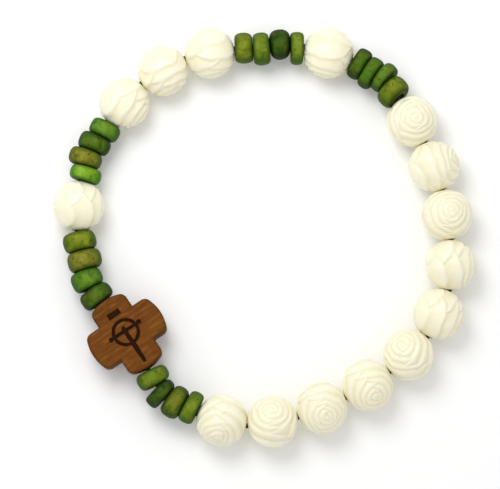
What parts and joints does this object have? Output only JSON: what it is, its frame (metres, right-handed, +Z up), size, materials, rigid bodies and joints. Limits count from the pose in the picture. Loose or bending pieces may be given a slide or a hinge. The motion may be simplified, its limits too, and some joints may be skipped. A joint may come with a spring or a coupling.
{
  "type": "rosary bracelet",
  "caption": "Stretch bracelet of carved ivory rose beads and small green stained wooden rondelles with a flat wooden cross strung in line.",
  "frame": {"origin": "middle of the bracelet's bounding box, at the height of the surface that it lies on", "axes": "+Z up from the surface; seen from above, the wooden cross is at the lower left, towards -X and -Y, and +Y points to the picture's top"},
  "size_m": [0.0672, 0.0672, 0.008],
  "materials": {
    "ivory_resin": "cream resin carved as roses, satin gloss",
    "leaf_green_wood": "turned wood with a mottled leaf-green stain and a thin satin varnish",
    "dark_green_wood": "turned wood with a dark green stain and a thin satin varnish",
    "olive_green_wood": "turned wood with a brownish olive-green stain and a thin satin varnish",
    "brown_wood": "reddish brown straight-grained wood with burnt lines, silky",
    "black_elastic": "thin round black elastic thread, dull"
  },
  "bodies": {
    "root": {"wooden_cross": "brown_wood", "rondelle_1": "leaf_green_wood", "rondelle_2": "dark_green_wood", "rondelle_3": "olive_green_wood", "rondelle_4": "leaf_green_wood", "rondelle_5": "olive_green_wood", "rondelle_6": "dark_green_wood", "rondelle_7": "olive_green_wood", "rondelle_8": "dark_green_wood", "rondelle_9": "leaf_green_wood", "rondelle_10": "dark_green_wood", "rondelle_11": "leaf_green_wood", "rondelle_12": "olive_green_wood", "rondelle_13": "leaf_green_wood", "rondelle_14": "dark_green_wood", "rondelle_15": "olive_green_wood", "rondelle_16": "leaf_green_wood", "rondelle_17": "olive_green_wood", "rondelle_18": "olive_green_wood", "rondelle_19": "leaf_green_wood", "rondelle_20": "dark_green_wood", "rose_bead_1": "ivory_resin", "rose_bead_2": "ivory_resin", "rose_bead_3": "ivory_resin", "rose_bead_4": "ivory_resin", "rose_bead_5": "ivory_resin", "rose_bead_6": "ivory_resin", "rose_bead_7": "ivory_resin", "rose_bead_8": "ivory_resin", "rose_bead_9": "ivory_resin", "rose_bead_10": "ivory_resin", "rose_bead_11": "ivory_resin", "rose_bead_12": "ivory_resin", "rose_bead_13": "ivory_resin", "rose_bead_14": "ivory_resin", "rose_bead_15": "ivory_resin", "elastic_cord": "black_elastic"}
  },
  "joints": []
}
